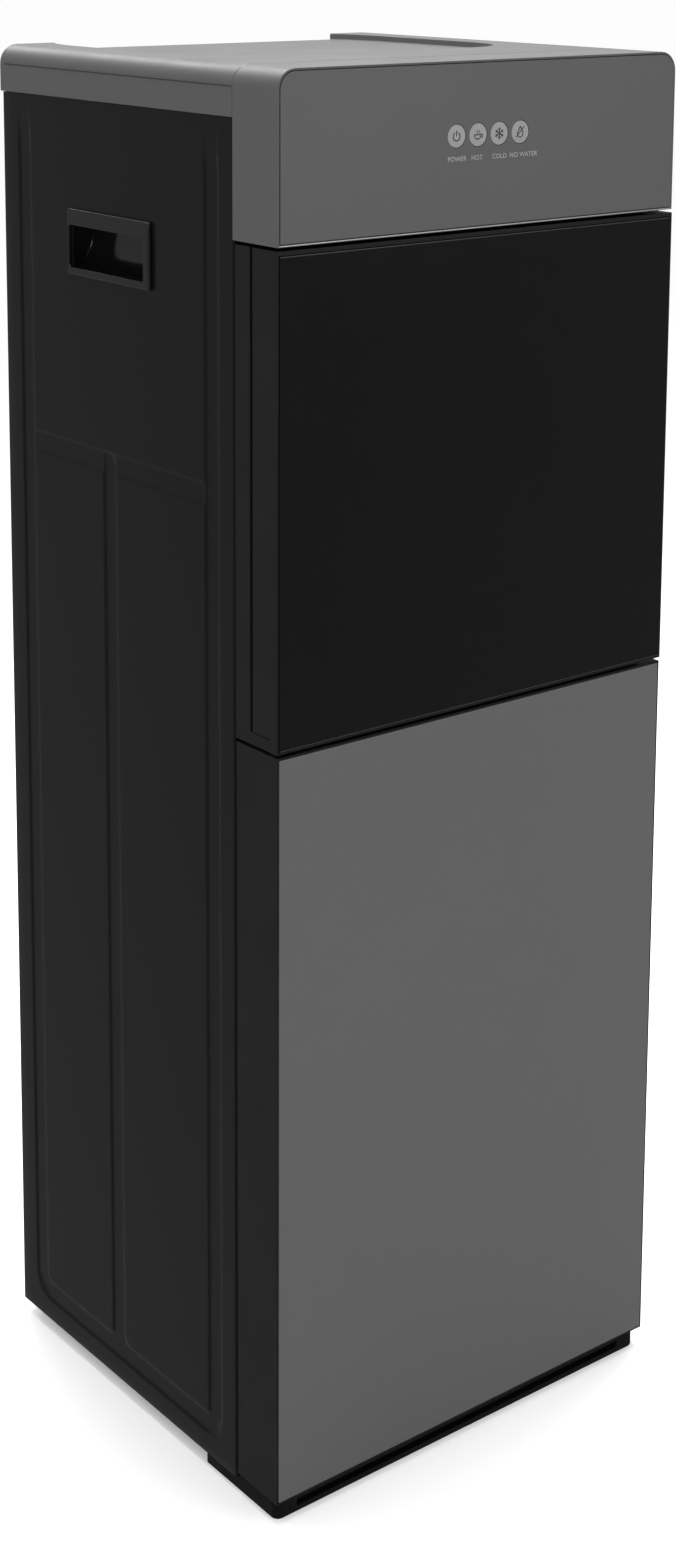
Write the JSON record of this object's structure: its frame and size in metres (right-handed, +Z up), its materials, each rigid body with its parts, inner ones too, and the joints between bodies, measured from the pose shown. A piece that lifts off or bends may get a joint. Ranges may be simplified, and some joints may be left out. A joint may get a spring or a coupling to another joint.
{
  "type": "bottom-loading water dispenser",
  "caption": "Tall floor-standing water dispenser: a grey control head over a black-fronted dispensing bay and a lower bottle compartment, both behind hinged doors.",
  "frame": {"origin": "on the floor, under the middle of the whole object", "axes": "+Z up, the doors face -Y, +X is the hinge side, at the viewer's right"},
  "size_m": [0.364, 0.363, 1.022],
  "materials": {
    "grey_housing": "satin grey moulded plastic",
    "grey_panel": "flat grey front panel",
    "black_steel": "black powder-coated sheet",
    "black_plastic": "satin black moulded plastic",
    "black_glass": "glossy black glass",
    "lens": "pale grey printed lens",
    "steel": "brushed stainless steel",
    "white_plastic": "food-grade white plastic",
    "red_plastic": "red",
    "blue_plastic": "blue",
    "green_plastic": "green",
    "rubber": "black rubber",
    "foam": "foam insulation"
  },
  "bodies": {
    "cabinet": {"top_cover": "grey_housing", "fascia_housing": "grey_housing", "fascia_panel": "grey_panel", "base_pan": "black_steel", "side_panel_left": "black_steel", "side_panel_right": "black_steel", "rear_panel": "black_steel", "front_post_left": "black_steel", "front_post_right": "black_steel", "mid_shelf": "black_steel", "compressor": "black_steel", "condenser_coil": "black_steel", "plinth": "black_plastic", "handle_left": "black_plastic", "handle_right": "black_plastic", "front_casing": "black_plastic", "bay_liner": "black_plastic", "hot_tap": "black_plastic", "cold_tap": "black_plastic", "cabinet_wall_left": "black_plastic", "cabinet_wall_right": "black_plastic", "cabinet_floor": "black_plastic", "cabinet_back": "black_plastic", "cabinet_ceiling": "black_plastic", "probe_clip": "black_plastic", "switch_bezel": "black_plastic", "indicator_power": "lens", "indicator_hot": "lens", "indicator_cold": "lens", "indicator_no_water": "lens", "mid_hinge": "steel", "upper_hinge": "steel", "lower_hinge": "steel", "upper_catch": "steel", "lower_catch": "steel", "hot_tank": "steel", "probe_hose": "white_plastic", "water_pump": "white_plastic", "cold_pipe": "white_plastic", "hot_pipe": "white_plastic", "control_board": "green_plastic", "rear_foot_left": "rubber", "rear_foot_right": "rubber", "cord_gland": "rubber", "cold_tank": "foam"},
    "upper_door": {"upper_door_frame": "black_plastic", "upper_door_glass": "black_glass", "upper_door_liner": "black_plastic"},
    "lower_door": {"lower_door_frame": "black_plastic", "lower_door_panel": "grey_panel", "lower_door_liner": "black_plastic"},
    "hot_lever": {"hot_lever": "red_plastic"},
    "cold_lever": {"cold_lever": "blue_plastic"},
    "child_lock": {"child_lock": "red_plastic"},
    "drip_tray": {"drip_tray": "black_plastic"},
    "drip_grille": {"drip_grille": "steel"},
    "probe": {"probe": "white_plastic"},
    "hot_switch": {"hot_switch": "red_plastic"},
    "cold_switch": {"cold_switch": "green_plastic"},
    "drain_cap": {"drain_cap": "black_plastic"}
  },
  "joints": [
    {"name": "upper_door_hinge", "type": "hinge", "parent": "cabinet", "child": "upper_door", "pos_m": [0.174, -0.1595, 0.735], "axis": [0, 0, 1], "range_deg": [0, 100]},
    {"name": "lower_door_hinge", "type": "hinge", "parent": "cabinet", "child": "lower_door", "pos_m": [0.174, -0.1575, 0.289], "axis": [0, 0, 1], "range_deg": [0, 100]},
    {"name": "hot_lever_press", "type": "hinge", "parent": "cabinet", "child": "hot_lever", "pos_m": [-0.045, -0.0315, 0.856], "axis": [1, 0, 0], "range_deg": [0, 18], "stiffness_Nm_per_rad": 0.3, "springref_deg": -11.46},
    {"name": "cold_lever_press", "type": "hinge", "parent": "cabinet", "child": "cold_lever", "pos_m": [0.045, -0.0315, 0.856], "axis": [1, 0, 0], "range_deg": [0, 18], "stiffness_Nm_per_rad": 0.3, "springref_deg": -11.46},
    {"name": "child_lock_slide", "type": "slide", "parent": "hot_lever", "child": "child_lock", "axis": [0, 1, 0], "range_m": [0, 0.005], "stiffness_N_per_m": 80, "springref_m": -0.002},
    {"name": "drip_tray_lift", "type": "slide", "parent": "cabinet", "child": "drip_tray", "axis": [0, 0, 1], "range_m": [0, 0.06]},
    {"name": "drip_grille_lift", "type": "slide", "parent": "drip_tray", "child": "drip_grille", "axis": [0, 0, 1], "range_m": [0, 0.05]},
    {"name": "probe_unclip", "type": "slide", "parent": "cabinet", "child": "probe", "axis": [0, -1, 0], "range_m": [0, 0.05]},
    {"name": "hot_switch_rock", "type": "hinge", "parent": "cabinet", "child": "hot_switch", "pos_m": [-0.02, 0.1625, 0.927], "axis": [1, 0, 0], "range_deg": [0, 14]},
    {"name": "cold_switch_rock", "type": "hinge", "parent": "cabinet", "child": "cold_switch", "pos_m": [0.02, 0.1625, 0.927], "axis": [1, 0, 0], "range_deg": [0, 14]},
    {"name": "drain_cap_pull", "type": "slide", "parent": "cabinet", "child": "drain_cap", "axis": [0, 1, 0], "range_m": [0, 0.02]}
  ]
}
